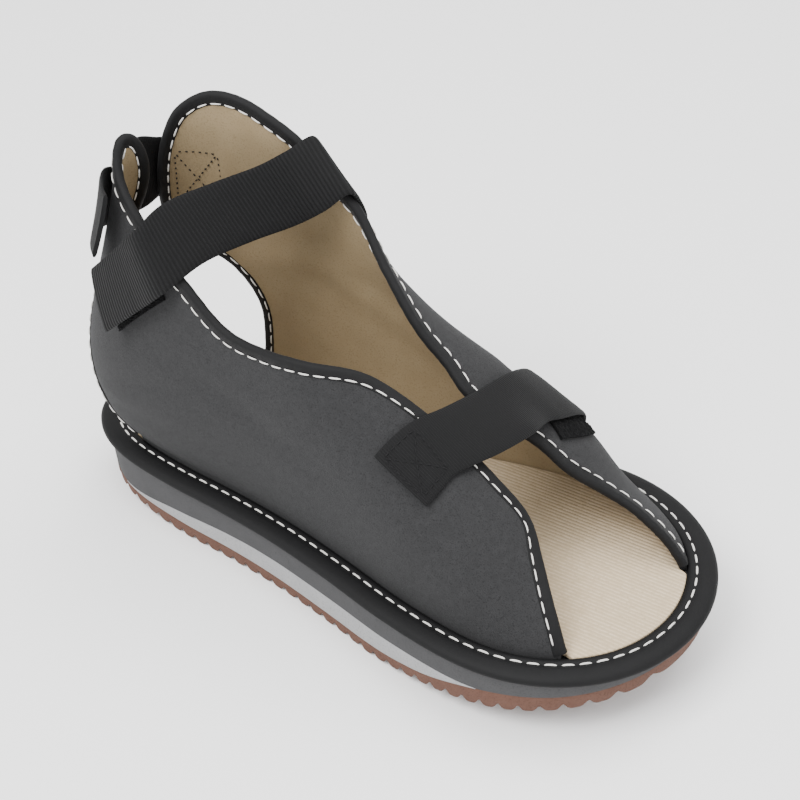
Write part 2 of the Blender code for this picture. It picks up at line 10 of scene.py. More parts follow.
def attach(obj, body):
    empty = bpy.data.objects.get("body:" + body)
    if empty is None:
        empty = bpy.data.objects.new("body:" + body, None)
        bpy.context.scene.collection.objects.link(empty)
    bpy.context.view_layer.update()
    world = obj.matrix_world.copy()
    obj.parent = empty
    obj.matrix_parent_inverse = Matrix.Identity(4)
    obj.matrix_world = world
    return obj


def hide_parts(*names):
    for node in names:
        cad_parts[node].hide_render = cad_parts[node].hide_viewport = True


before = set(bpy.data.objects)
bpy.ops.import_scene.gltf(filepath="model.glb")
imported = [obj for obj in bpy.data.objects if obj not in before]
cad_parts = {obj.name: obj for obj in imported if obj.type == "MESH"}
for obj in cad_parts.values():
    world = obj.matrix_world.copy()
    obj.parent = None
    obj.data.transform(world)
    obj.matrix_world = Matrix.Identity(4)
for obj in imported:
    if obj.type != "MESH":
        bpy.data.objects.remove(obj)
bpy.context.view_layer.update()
bpy.ops.object.select_all(action="DESELECT")

MM = 0.001
STITCH_LENGTH = 258.0 * MM
BALL_WIDTH = 104.0 * MM
PLATFORM_HEIGHT = 31.6 * MM
WALL_RISE = 142.0 * MM
WALL = 2.6 * MM
CLEAR = 0.3 * MM
RIM_OUT = 7.7 * MM
RIM_IN = 3.3 * MM
RIM_THIN = 1.9 * MM
RIM_THICK = 3.7 * MM
LIP_SETBACK = 3.0 * MM
SHAPE_START = 1.0 * MM
TREAD_PITCH = 7.1 * MM
TREAD_DEPTH = 2.6 * MM
TREAD_START = -123.0 * MM
FLAT_FROM = -78.0 * MM
FLAT_TO = 26.0 * MM
HEEL_RISE = 6.2 * MM
TOE_RISE = 19.0 * MM
ROCKER_POWER = 1.12
WEDGE_FROM = -112.0 * MM
WEDGE_TO = 78.0 * MM
BINDING_WIDTH = 5.0 * MM
BINDING_PROUD = 0.45 * MM
STRAP_THICK = 1.8 * MM
PATCH_THICK = 1.2 * MM
WEBBING_WIDTH = 25.0 * MM
HEEL_STRAP_WIDTH = 30.0 * MM
NEAR = -1
FAR = 1

FOOTPRINT = [
    (0.000, 0.942), (0.150, 0.868), (0.300, 0.708), (0.375, 0.663), (0.450, 0.688),
    (0.525, 0.794), (0.600, 0.968), (0.750, 1.340), (0.900, 1.528), (1.000, 1.554),
]
LEAN_AT = (0.00, 0.13, 0.26, 0.41, 0.55, 0.76, 1.00)
LAST = [
    (0.00, -40, -10, 12, 28, 35, 34, 24),
    (0.12, -52, -12, 8, 17, 22, 23, 16),
    (0.22, -47, -11, 3, 9, 13, 14, 4),
    (0.35, -22, -8, 2, 5, 6, 5, -1),
    (0.43, -14, -5, 2, 5, 8, 8, 4),
    (0.465, -12, -4, 2, 6, 13, 19, 22),
    (0.50, -9, -2, 3, 10, 31, 54, 60),
    (0.56, -8, 0, 8, 35, 68, 80, 85),
    (0.62, -6, 4, 25, 62, 80, 86, 88),
    (0.68, 0, 15, 50, 74, 84, 88, 88),
    (0.75, 20, 45, 68, 80, 86, 88, 88),
    (0.85, 30, 50, 65, 75, 80, 85, 88),
    (1.00, 30, 50, 65, 75, 80, 85, 88),
]
SPINE = [
    (0.00, -0.302), (0.12, -0.295), (0.22, -0.271), (0.35, -0.194), (0.50, 0.008),
    (0.62, 0.171), (0.75, 0.295), (0.85, 0.333), (1.00, 0.341),
]
NEAR_EDGE = [
    (0.200, 0.000), (0.140, 0.141), (0.065, 0.401), (0.030, 0.704), (0.035, 0.901), (0.090, 0.993),
    (0.170, 0.979), (0.235, 0.880), (0.295, 0.782), (0.350, 0.662), (0.405, 0.556), (0.480, 0.556),
    (0.540, 0.570), (0.600, 0.528), (0.665, 0.458), (0.727, 0.352), (0.765, 0.232), (0.795, 0.099),
    (0.812, 0.000),
]
FAR_EDGE = [
    (0.298, 0.000), (0.309, 0.190), (0.308, 0.324), (0.280, 0.430), (0.225, 0.500), (0.172, 0.606),
    (0.150, 0.746), (0.158, 0.859), (0.196, 0.937), (0.240, 0.979), (0.290, 1.000), (0.340, 0.979),
    (0.385, 0.923), (0.425, 0.845), (0.455, 0.787), (0.482, 0.722), (0.517, 0.680), (0.570, 0.627),
    (0.605, 0.613), (0.640, 0.570), (0.672, 0.500), (0.720, 0.387), (0.772, 0.261), (0.853, 0.162),
    (0.897, 0.056), (0.913, 0.000),
]
SOLE_SIDE = [
    (-0.530, 0.320, 0.320), (-0.434, 0.255, 0.250), (-0.310, 0.375, 0.212), (-0.163, 0.456, 0.196),
    (0.000, 0.450, 0.162), (0.100, 0.462, 0.178), (0.202, 0.492, 0.290), (0.302, 0.522, 0.516),
    (0.420, 0.648, 0.648), (0.530, 0.780, 0.780),
]
ANKLE_NEAR = [(0.240, 0.540, 4.5, -22), (0.288, 0.640, 3.0, -26), (0.322, 0.715, 2.2, -30)]
ANKLE_FREE = [
    (-0.240, -0.185, 0.763, -0.58, 0.00, 0.80), (-0.214, 0.000, 0.764, -0.60, 0.00, 0.80),
    (-0.170, 0.110, 0.790, -0.60, 0.00, 0.80), (-0.132, 0.160, 0.832, -0.68, 0.08, 0.73),
    (-0.105, 0.234, 0.864, -0.77, 0.25, 0.59),
]
ANKLE_FAR = [(0.428, 0.775, 1.0, -62), (0.424, 0.700, 0.2, -72), (0.420, 0.590, 0.2, -80), (0.415, 0.490, 0.2, -84)]
ANKLE_PATCH = [(0.247, 0.480, -25), (0.275, 0.540, -26), (0.300, 0.592, -27), (0.320, 0.632, -28)]
FOREFOOT_NEAR = [(0.595, 0.350, 0.0, -64), (0.603, 0.400, 0.0, -62), (0.612, 0.452, 0.0, -60)]
FOREFOOT_FREE = [(0.197, -0.105, 0.412, -0.92, 0.05, 0.42), (0.213, 0.040, 0.405, -0.93, 0.05, 0.38)]
FOREFOOT_FAR = [
    (0.644, 0.460, 0.8, -66), (0.644, 0.390, 0.3, -72), (0.640, 0.310, 0.3, -80), (0.634, 0.230, 0.3, -88),
    (0.628, 0.160, 0.2, -94),
]
FOREFOOT_PATCH = [(0.656, 0.410, -70), (0.656, 0.345, -75), (0.653, 0.280, -82), (0.648, 0.220, -90)]
HEEL_FAR = [(0.300, 0.720, 0.0, 0), (0.255, 0.735, 0.0, 0), (0.210, 0.755, 0.4, 0), (0.172, 0.770, 1.2, 0)]
HEEL_FREE = [(-0.407, 0.060, 0.757, 0.08, 0.0, 1.0)]
HEEL_NEAR = [(0.110, 0.785, 1.0, 2), (0.165, 0.780, 2.0, 6), (0.215, 0.770, 4.0, 12), (0.245, 0.762, 6.0, 15)]


def linear(red, green, blue):
    """Screen colour from 0 to 255 as the shader's linear colour."""
    return tuple((c / 255 / 12.92) if c <= 10 else ((c / 255 + 0.055) / 1.055) ** 2.4 for c in (red, green, blue))


def finish_of(name, base, light, mottle, grain, depth, rough, coat=0.0, sheen=0.0, ribs=None, fleck=0.0,
              contrast=0.5, shine=0.2):
    """Two tones in soft mottles, a fine grain as bump, and ribs along the piece's own map where asked, their grooves
    darkened as painted shade.
    """
    made = bpy.data.materials.new(name)
    made.use_nodes = True
    tree = made.node_tree
    shader = tree.nodes["Principled BSDF"]
    shader.inputs["Roughness"].default_value = rough
    shader.inputs["Coat Weight"].default_value = coat
    shader.inputs["Sheen Weight"].default_value = sheen
    shader.inputs["Specular IOR Level"].default_value = shine
    place = tree.nodes.new("ShaderNodeTexCoord")

    def noise(scale, detail):
        node = tree.nodes.new("ShaderNodeTexNoise")
        node.inputs["Scale"].default_value = scale
        node.inputs["Detail"].default_value = detail
        tree.links.new(place.outputs["Object"], node.inputs["Vector"])
        return node.outputs["Fac"]

    def mixed(factor, a, b):
        node = tree.nodes.new("ShaderNodeMix")
        node.data_type = "RGBA"
        tree.links.new(factor, node.inputs[0])
        for socket, value in ((6, a), (7, b)):
            if isinstance(value, tuple):
                node.inputs[socket].default_value = (*value, 1.0)
            else:
                tree.links.new(value, node.inputs[socket])
        return node.outputs[2]

    def spread(value, low, high):
        node = tree.nodes.new("ShaderNodeMapRange")
        node.inputs["From Min"].default_value = low
        node.inputs["From Max"].default_value = high
        tree.links.new(value, node.inputs["Value"])
        return node.outputs["Result"]

    broad = spread(noise(mottle, 4.0), 0.5 - 0.25 / contrast, 0.5 + 0.25 / contrast)
    colour = mixed(broad, base, light)
    fine = noise(grain, 3.0)
    if fleck > 0:
        dark = tuple(c * (1 - fleck) for c in base)
        colour = mixed(spread(noise(grain * 0.8, 2.0), 0.52, 0.72), colour, dark)
    bump = tree.nodes.new("ShaderNodeBump")
    bump.inputs["Strength"].default_value = 1.0
    bump.inputs["Distance"].default_value = depth
    tree.links.new(fine, bump.inputs["Height"])
    last = bump
    if ribs:
        # ribs: pitch, bump height, factor for the painted shade in the grooves, direction
        pitch, height, groove_shade, axis = ribs
        map_node = tree.nodes.new("ShaderNodeUVMap")
        map_node.uv_map = "UVMap"
        wave = tree.nodes.new("ShaderNodeTexWave")
        wave.bands_direction = axis
        wave.inputs["Scale"].default_value = 2 * math.pi / 20 / pitch
        wave.inputs["Distortion"].default_value = 0.35
        wave.inputs["Detail Scale"].default_value = 3.0
        tree.links.new(map_node.outputs["UV"], wave.inputs["Vector"])
        raised = tree.nodes.new("ShaderNodeBump")
        raised.inputs["Strength"].default_value = 1.0
        raised.inputs["Distance"].default_value = height
        tree.links.new(wave.outputs["Fac"], raised.inputs["Height"])
        tree.links.new(bump.outputs["Normal"], raised.inputs["Normal"])
        # painted shade: the colour darkens towards the bottom of each rib groove, following the bump
        colour = mixed(wave.outputs["Fac"], tuple(c * groove_shade for c in base), colour)
        last = raised
    tree.links.new(colour, shader.inputs["Base Color"])
    tree.links.new(last.outputs["Normal"], shader.inputs["Normal"])
    return made


UPPER = finish_of("upper_fabric", linear(38, 38, 39), linear(47, 47, 48), 420, 2300, 0.00020, 0.95, sheen=0.04,
                  fleck=0.35, contrast=0.7)
LINING = finish_of("lining_fabric", linear(136, 119, 91), linear(149, 133, 105), 120, 1900, 0.00010, 0.95,
                   fleck=0.08)
INSOLE = finish_of("insole_cloth", linear(186, 167, 138), linear(204, 186, 160), 260, 1500, 0.00010, 0.95,
                   ribs=(1.6 * MM, 0.00015, 0.90, "Y"), fleck=0.12, contrast=0.9)
BINDING = finish_of("binding_tape", linear(11, 11, 12), linear(17, 17, 18), 300, 3000, 0.00010, 0.7, sheen=0.03)
WEBBING = finish_of("webbing", linear(14, 14, 15), linear(20, 20, 21), 250, 3500, 0.00012, 0.8, sheen=0.02,
                    ribs=(1.5 * MM, 0.00030, 0.45, "X"))
WEBBING_FINE = finish_of("webbing_fine", linear(12, 12, 13), linear(18, 18, 19), 250, 3500, 0.00012, 0.8,
                         sheen=0.02, ribs=(0.9 * MM, 0.00010, 0.75, "X"))
PILE = finish_of("hook_pile", linear(4, 4, 5), linear(13, 13, 14), 900, 1700, 0.0006, 0.95, contrast=1.2)
RIM = finish_of("rim_cover", linear(10, 10, 11), linear(16, 16, 17), 200, 2600, 0.00010, 0.65)
FOAM_GREY = finish_of("grey_foam", linear(60, 60, 61), linear(69, 69, 70), 140, 2400, 0.00010, 0.8, fleck=0.2)
FOAM_WHITE = finish_of("white_foam", linear(142, 142, 143), linear(156, 156, 157), 140, 1700, 0.00015, 0.8,
                       fleck=0.14)
RUBBER = finish_of("brown_rubber", linear(84, 58, 48), linear(98, 72, 61), 180, 2200, 0.00014, 0.8, fleck=0.2)
THREAD = finish_of("white_thread", linear(205, 203, 198), linear(222, 220, 216), 900, 4000, 0.00006, 0.8)
DARK_THREAD = finish_of("black_thread", linear(12, 12, 13), linear(20, 20, 21), 900, 4000, 0.00006, 0.7)


def smooth_through(knots, values, at):
    knots = np.asarray(knots, float)
    values = np.asarray(values, float)
    at = np.clip(np.asarray(at, float), knots[0], knots[-1])
    slope = np.gradient(values, knots, axis=0)
    row = np.clip(np.searchsorted(knots, at, side="right") - 1, 0, len(knots) - 2)
    span = knots[row + 1] - knots[row]
    part = (at - knots[row]) / span
    if values.ndim > 1:
        part = part[..., None]
        span = span[..., None]
    low, high = values[row], values[row + 1]
    low_slope, high_slope = slope[row] * span, slope[row + 1] * span
    squared, cubed = part**2, part**3
    return ((2 * cubed - 3 * squared + 1) * low + (cubed - 2 * squared + part) * low_slope
            + (3 * squared - 2 * cubed) * high + (cubed - squared) * high_slope)


def resample(points, count):
    walked = np.concatenate([[0.0], np.cumsum(np.linalg.norm(np.diff(points, axis=0), axis=1))])
    at = np.linspace(0, walked[-1], count)
    return np.stack([np.interp(at, walked, column) for column in points.T], -1)


def outline(turn, out=0.0):
    turn = np.asarray(turn, float)
    table = np.asarray(FOOTPRINT)

    def at(share):
        full = smooth_through(table[:, 0], table[:, 1], np.abs(np.where(share > 1, 2 - share, share)))
        return -STITCH_LENGTH / 2 * np.cos(np.pi * share), np.sin(np.pi * share) * full * BALL_WIDTH / 2

    along, width = at(turn)
    after, before = at(turn + 0.001), at(turn - 0.001)
    run, drift = after[0] - before[0], after[1] - before[1]
    size = np.hypot(run, drift)
    return along - drift / size * out, width + run / size * out


def loop_outline(count, out):
    turns = np.linspace(0, 1, count + 1)
    reach = out if callable(out) else (lambda side, turn: np.full_like(turn, out))
    along, width = outline(turns, reach(FAR, turns))
    back = turns[-2:0:-1]
    near_along, near_width = outline(back, reach(NEAR, back))
    return np.concatenate([np.stack([along, width], -1), np.stack([near_along, -near_width], -1)])


GRID_TURNS = np.linspace(0, 1, 401)
GRID_RISES = np.linspace(0, 1.15, 231)


def last_grid():
    table = np.asarray(LAST, float)
    columns = smooth_through(table[:, 0], table[:, 1:], GRID_TURNS)
    lean = np.radians(smooth_through(LEAN_AT, columns.T, GRID_RISES).T)
    step = np.diff(GRID_RISES) * WALL_RISE
    zero = np.zeros((len(GRID_TURNS), 1))
    inward = np.concatenate([zero, np.cumsum((np.sin(lean[:, 1:]) + np.sin(lean[:, :-1])) / 2 * step, 1)], 1)
    upward = np.concatenate([zero, np.cumsum((np.cos(lean[:, 1:]) + np.cos(lean[:, :-1])) / 2 * step, 1)], 1)
    along, width = outline(GRID_TURNS, -RIM_IN - CLEAR)
    spine = smooth_through([row[0] for row in SPINE], [row[1] for row in SPINE], GRID_TURNS) * STITCH_LENGTH
    reach = np.hypot(along - spine, width)
    grid = np.empty((len(GRID_TURNS), len(GRID_RISES), 3))
    grid[..., 0] = along[:, None] - ((along - spine) / reach)[:, None] * inward
    grid[..., 1] = width[:, None] - (width / reach)[:, None] * inward
    grid[..., 2] = PLATFORM_HEIGHT + SHAPE_START + upward
    return grid


LAST_GRID = last_grid()
BASE_WALK = np.concatenate([[0.0], np.cumsum(np.linalg.norm(np.diff(LAST_GRID[:, 0], axis=0), axis=1))])


def walk_of(turn):
    return np.interp(turn, GRID_TURNS, BASE_WALK)


def on_grid(side, walk, rise):
    walk, rise = np.broadcast_arrays(np.asarray(walk, float), np.asarray(rise, float))
    i = np.interp(np.abs(walk), BASE_WALK, np.arange(len(BASE_WALK)))
    j = np.clip(rise / WALL_RISE, 0, 1.14) / GRID_RISES[-1] * (len(GRID_RISES) - 1)
    i0 = np.minimum(i.astype(int), len(GRID_TURNS) - 2)
    j0 = np.minimum(j.astype(int), len(GRID_RISES) - 2)
    p, q = (i - i0)[..., None], (j - j0)[..., None]
    point = ((1 - p) * (1 - q) * LAST_GRID[i0, j0] + p * (1 - q) * LAST_GRID[i0 + 1, j0]
             + (1 - p) * q * LAST_GRID[i0, j0 + 1] + p * q * LAST_GRID[i0 + 1, j0 + 1])
    point[..., 2] += np.minimum(rise, 0.0)
    point[..., 1] *= np.where(walk < 0, -1, 1) * side
    return point


def wall_frame(side, walk, rise):
    step = 2.5 * MM
    here = on_grid(side, walk, rise)
    ahead = (on_grid(side, walk + step, rise) - on_grid(side, walk - step, rise)) / (2 * step)
    up = (on_grid(side, walk, rise + step) - on_grid(side, walk, rise - step)) / (2 * step)
    outward = np.cross(up, ahead) * side
    outward /= np.linalg.norm(outward, axis=-1, keepdims=True)
    return here, outward, ahead, up


def on_wall(side, walk, rise, lift):
    here, outward, _, _ = wall_frame(side, walk, rise)
    return here + outward * np.asarray(lift)[..., None]


def edge_of(rows, count):
    lengths = np.array([(walk_of(turn), rise * WALL_RISE) for turn, rise in rows])
    dense = smooth_through(np.arange(len(lengths)), lengths, np.linspace(0, len(lengths) - 1, 900))
    return resample(dense, count)


def inside_edge(side, edge, distance):
    """The edge moved onto the quarter by a distance, square to the edge on the surface."""
    tangent_flat = np.gradient(edge, axis=0)
    _, outward, ahead, up = wall_frame(side, edge[:, 0], edge[:, 1])
    tangent = ahead * tangent_flat[:, :1] + up * tangent_flat[:, 1:]
    square = np.cross(outward, tangent) * side
    square /= np.linalg.norm(square, axis=1, keepdims=True)
    made = []
    for k in range(len(edge)):
        gram = np.array([[ahead[k] @ ahead[k], ahead[k] @ up[k]], [ahead[k] @ up[k], up[k] @ up[k]]])
        made.append(edge[k] + np.linalg.solve(gram, [square[k] @ ahead[k], square[k] @ up[k]]) * distance)
    return np.array(made)


# Soft troughs and ridges of the fabric: side, turn, rise share, length and width in mm, slant, depth in mm
CREASES = [
    (NEAR, 0.300, 0.300, 30, 7, 20, 0.5), (NEAR, 0.420, 0.330, 34, 8, -15, 0.5), (NEAR, 0.520, 0.380, 26, 7, 30, 0.45),
    (NEAR, 0.240, 0.150, 28, 6, 5, 0.4), (NEAR, 0.640, 0.200, 26, 8, 60, 0.4), (NEAR, 0.140, 0.760, 18, 5, 80, 0.5),
    (FAR, 0.360, 0.500, 36, 9, 15, 0.5), (FAR, 0.460, 0.420, 30, 8, -30, 0.5), (FAR, 0.600, 0.350, 28, 8, 40, 0.5),
    (FAR, 0.300, 0.780, 22, 7, 70, 0.4),
]


def crease(side, walk, rise):
    lift = np.zeros_like(walk)
    for row_side, turn, share, length, width, slant, depth in CREASES:
        if row_side != side:
            continue
        x, y = walk - walk_of(turn), rise - share * WALL_RISE
        a = math.radians(slant)
        along, across = x * math.cos(a) + y * math.sin(a), -x * math.sin(a) + y * math.cos(a)
        fall = np.exp(-((along / (length * MM)) ** 2) - (across / (width * MM)) ** 2)
        lift += -depth * MM * fall * (1 - 1.6 * (across / (width * MM)) ** 2)
    return lift


def build(name, points, faces, finishes, replaced=(), marks=None, uvs=None):
    mesh = bpy.data.meshes.new(name)
    mesh.from_pydata([tuple(map(float, point)) for point in points], [], [tuple(map(int, face)) for face in faces])
    for finish in finishes:
        mesh.materials.append(finish)
    if marks is not None:
        mesh.polygons.foreach_set("material_index", np.asarray(marks, np.int32))
    if uvs is not None:
        layer = mesh.uv_layers.new(name="UVMap")
        loops = np.zeros(len(mesh.loops), np.int32)
        mesh.loops.foreach_get("vertex_index", loops)
        layer.data.foreach_set("uv", np.asarray(uvs, np.float32)[loops].ravel())
    mesh.shade_smooth()
    mesh.set_sharp_from_angle(angle=math.radians(50))
    made = bpy.data.objects.new(name, mesh)
    bpy.context.scene.collection.objects.link(made)
    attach(made, "root")
    if replaced:
        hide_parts(*replaced)
    return made


def tube_faces(rings, size, closed=False):
    faces = []
    for i in range(rings if closed else rings - 1):
        a, b = i * size, (i + 1) % rings * size
        faces += [(a + j, b + j, b + (j + 1) % size, a + (j + 1) % size) for j in range(size)]
    if not closed:
        faces.append(tuple(reversed(range(size))))
        faces.append(tuple((rings - 1) * size + j for j in range(size)))
    return faces


def outward_faces(made):
    shape = bmesh.new()
    shape.from_mesh(made.data)
    if shape.calc_volume(signed=True) < 0:
        bmesh.ops.reverse_faces(shape, faces=shape.faces)
    shape.to_mesh(made.data)
    shape.free()
    return made


def quarter(name, side, rows, count, cell, replaced):
    """A quarter's outer fabric and lining, running in under its binding."""
    edge = edge_of(rows, count)
    inset = inside_edge(side, edge, 2.6 * MM)
    inset = inset[inset[:, 1] > -3.2 * MM]
    base = np.stack([np.linspace(inset[-1][0], inset[0][0], int((inset[-1][0] - inset[0][0]) / cell)),
                     np.full(int((inset[-1][0] - inset[0][0]) / cell), -3.2 * MM)], -1)
    border = np.vstack([inset, base])
    walks = np.arange(border[:, 0].min(), border[:, 0].max(), cell)
    rises = np.arange(-2 * MM, border[:, 1].max(), cell)
    grid = np.stack(np.meshgrid(walks, rises), -1).reshape(-1, 2)
    inside = np.zeros(len(grid), bool)
    near = np.full(len(grid), 1e9)
    for a, b in zip(border, np.roll(border, -1, axis=0)):
        crosses = (a[1] > grid[:, 1]) != (b[1] > grid[:, 1])
        if abs(b[1] - a[1]) > 1e-12:
            inside ^= crosses & (grid[:, 0] < a[0] + (grid[:, 1] - a[1]) / (b[1] - a[1]) * (b[0] - a[0]))
        run = b - a
        part = np.clip(((grid - a) @ run) / max(run @ run, 1e-12), 0, 1)
        near = np.minimum(near, np.linalg.norm(grid - a - part[:, None] * run, axis=1))
    grid = grid[inside & (near > cell * 0.45)]
    flat = [Vector(point) for point in np.vstack([border, grid])]
    ring = [(k, (k + 1) % len(border)) for k in range(len(border))]
    points, _, faces, *_ = geometry.delaunay_2d_cdt(flat, ring, [], 1, 1e-7)
    flat = np.array([tuple(point) for point in points])
    dent = crease(side, flat[:, 0], flat[:, 1])
    outer = on_wall(side, flat[:, 0], flat[:, 1], dent)
    inner = on_wall(side, flat[:, 0], flat[:, 1], dent - WALL)
    total = len(flat)
    faces = [tuple(face) for face in faces]
    shell = [face if side == NEAR else face[::-1] for face in faces]
    back = [tuple(v + total for v in face[::-1]) for face in shell]
    edges = {(f[k], f[(k + 1) % len(f)]) for f in shell for k in range(len(f))}
    rims = [(b, a, a + total, b + total) for a, b in edges if (b, a) not in edges]
    marks = [0] * len(shell) + [1] * len(back) + [0] * len(rims)
    made = build(name, np.vstack([outer, inner]), shell + back + rims, [UPPER, LINING], replaced, marks,
                 np.vstack([flat, flat]))
    return outward_faces(made)


def tape(name, side, rows, count, replaced):
    """Folded binding tape round a quarter's edge."""
    edge = edge_of(rows, count)
    edge = edge[edge[:, 1] > 0.3 * MM]
    rounds = 16
    middle, half = -WALL / 2, WALL / 2 + BINDING_PROUD
    rings = []
    for k in range(rounds):
        angle = math.pi * (-0.5 + k / (rounds - 1))
        depth = 1.6 * MM - 1.6 * MM * math.cos(angle)
        rings.append((depth, middle - half * math.sin(angle)))
    section = [(BINDING_WIDTH, middle + half - 0.45 * MM), (BINDING_WIDTH - 0.5 * MM, middle + half - 0.05 * MM)]
    section += rings
    section += [(BINDING_WIDTH - 0.5 * MM, middle - half + 0.05 * MM), (BINDING_WIDTH, middle - half + 0.45 * MM)]
    columns = []
    for depth, lift in section:
        moved = inside_edge(side, edge, depth)
        wave = 0.05 * MM * np.sin(np.arange(len(edge)) * 0.9)
        columns.append(on_wall(side, moved[:, 0], moved[:, 1], lift + wave))
    grid = np.stack(columns, 1)
    return outward_faces(build(name, grid.reshape(-1, 3), tube_faces(len(grid), len(section)), [BINDING],
                               replaced))


def stitches(name, points, normals, dash, gap, radius, finish, lift=0.0):
    """Running stitches: short rounded threads along a line, sunk at both ends."""
    walked = np.concatenate([[0.0], np.cumsum(np.linalg.norm(np.diff(points, axis=0), axis=1))])
    sides, steps = 6, 7
    verts, faces = [], []
    start = gap
    while start + dash < walked[-1]:
        base = len(verts)
        at = np.linspace(start, start + dash, steps)
        line = np.stack([np.interp(at, walked, column) for column in points.T], -1)
        up = np.stack([np.interp(at, walked, column) for column in normals.T], -1)
        up /= np.linalg.norm(up, axis=1, keepdims=True)
        forward = np.gradient(line, axis=0)
        forward /= np.linalg.norm(forward, axis=1, keepdims=True)
        across = np.cross(up, forward)
        for k in range(steps):
            share = abs(k / (steps - 1) * 2 - 1)
            size = radius * math.sqrt(max(1 - share**4, 0.12))
            rise = lift + radius * (0.75 - 1.3 * share**4)
            for j in range(sides):
                angle = 2 * math.pi * j / sides
                verts.append(line[k] + across[k] * size * 1.15 * math.cos(angle)
                             + up[k] * (rise + size * math.sin(angle)))
        faces += [tuple(v + base for v in face) for face in tube_faces(steps, sides)]
        start += dash + gap
    return build(name, verts, faces, [finish])


def edge_stitches(name, side, rows, depth, dash, inner, finish=THREAD):
    edge = edge_of(rows, 700)
    edge = edge[edge[:, 1] > 0.5 * MM]
    moved = inside_edge(side, edge, depth)
    lift = -WALL - BINDING_PROUD if inner else BINDING_PROUD
    _, outward, _, _ = wall_frame(side, moved[:, 0], moved[:, 1])
    points = on_wall(side, moved[:, 0], moved[:, 1], np.full(len(moved), lift))
    return stitches(name, points, -outward if inner else outward, dash, 1.3 * MM, 0.26 * MM, finish)


def ring_on_wall(side, row, width, under, shares):
    turn, rise, lift, slant = row
    walk, height = walk_of(turn), rise * WALL_RISE
    _, _, ahead, up = wall_frame(side, walk, height)
    lean = math.radians(slant)
    reach = np.asarray(shares) * width / 2
    return on_wall(side, walk + reach * math.sin(lean) / np.linalg.norm(ahead),
                   height + reach * math.cos(lean) / np.linalg.norm(up), np.full(len(reach), under + lift * MM))


def ring_free(row, width, shares):
    along, across, up, *way = row
    middle = np.array([along * STITCH_LENGTH, across * BALL_WIDTH, PLATFORM_HEIGHT + up * WALL_RISE])
    way = np.array(way) / np.linalg.norm(way)
    return middle + np.asarray(shares)[:, None] * way * width / 2


SHARES = np.array([-1, -0.96, -0.88, -0.6, -0.34, 0, 0.34, 0.6, 0.88, 0.96, 1])


def strap(name, rings, count, width, finish, replaced):
    """A woven band with rounded selvedges; its map runs along and across it in metres."""
    rings = np.array(rings)
    flat = rings.reshape(len(rings), -1)
    dense = smooth_through(np.arange(len(rings)), flat, np.linspace(0, len(rings) - 1, 900))
    middle = dense.reshape(900, len(SHARES), 3).mean(1)
    walked = np.concatenate([[0.0], np.cumsum(np.linalg.norm(np.diff(middle, axis=0), axis=1))])
    at = np.linspace(0, walked[-1], count)
    grid = np.stack([np.interp(at, walked, column) for column in dense.T], -1).reshape(count, -1, 3)
    normal = np.cross(np.gradient(grid, axis=0), np.gradient(grid, axis=1))
    normal /= np.linalg.norm(normal, axis=2, keepdims=True)
    full = np.sqrt(np.clip(1 - np.abs(SHARES) ** 14, 0.1, 1))[None, :, None] * STRAP_THICK / 2
    both = np.concatenate([grid + normal * full, (grid - normal * full)[:, ::-1]], 1)
    size = both.shape[1]
    across = np.concatenate([SHARES, SHARES[::-1]]) * width / 2
    uvs = np.stack(np.broadcast_arrays(at[:, None], across[None, :]), -1).reshape(-1, 2)
    made = build(name, both.reshape(-1, 3), tube_faces(count, size), [finish], replaced, None, uvs)
    return outward_faces(made), grid, normal


def sewn_box(name, grid, normal, first, last, width_share, finish, side=1):
    """A rectangle of stitches with a cross inside it, through a strap."""
    k0, k1 = first, last
    columns = np.linspace(0, 1, grid.shape[1])
    shares = (SHARES + 1) / 2

    def at(k, share):
        row = np.interp(k, np.arange(len(grid)), np.arange(len(grid)))
        i = int(min(row, len(grid) - 2))
        part = row - i
        line = grid[i] * (1 - part) + grid[i + 1] * part
        up = normal[i] * (1 - part) + normal[i + 1] * part
        point = np.array([np.interp(share, shares, column) for column in line.T])
        way = np.array([np.interp(share, shares, column) for column in up.T])
        return point + side * way * STRAP_THICK / 2, side * way

    a, b = 0.5 - width_share / 2, 0.5 + width_share / 2
    runs = [((k0, a), (k1, a)), ((k1, a), (k1, b)), ((k1, b), (k0, b)), ((k0, b), (k0, a)), ((k0, a), (k1, b)),
            ((k0, b), (k1, a))]
    for n, (start, end) in enumerate(runs):
        pairs = [at(start[0] + (end[0] - start[0]) * t, start[1] + (end[1] - start[1]) * t)
                 for t in np.linspace(0, 1, 24)]
        points, ways = np.array([p for p, _ in pairs]), np.array([w for _, w in pairs])
        stitches(f"{name}_{n + 1}", points, ways, 2.0 * MM, 0.8 * MM, 0.22 * MM, finish)


def patch(name, side, rows, width, replaced):
    """A pile-faced piece: a dense field of small tufts over a flat backing."""
    rows = smooth_through(np.arange(len(rows)), rows, np.linspace(0, len(rows) - 1, 60))
    shares = np.linspace(-1, 1, 50)
    low = np.array([ring_on_wall(side, (r[0], r[1], 0.0, r[2]), width, CLEAR, shares) for r in rows])
    rng = np.random.default_rng(7)
    tufts = rng.random((60, 50)) * 0.7 * MM
    high = []
    for k, r in enumerate(rows):
        turn, rise, slant = r
        walk, height = walk_of(turn), rise * WALL_RISE
        _, _, ahead, up = wall_frame(side, walk, height)
        reach = shares * width / 2
        lean = math.radians(slant)
        high.append(on_wall(side, walk + reach * math.sin(lean) / np.linalg.norm(ahead),
                            height + reach * math.cos(lean) / np.linalg.norm(up), PATCH_THICK - 0.2 * MM + tufts[k]))
    both = np.concatenate([low, np.array(high)[:, ::-1]], 1)
    return outward_faces(build(name, both.reshape(-1, 3), tube_faces(60, 100), [PILE], replaced))


# The platform
def layer_height(column, along):
    table = np.asarray(SOLE_SIDE, float)
    return smooth_through(table[:, 0] * STITCH_LENGTH, table[:, column] * PLATFORM_HEIGHT, along)


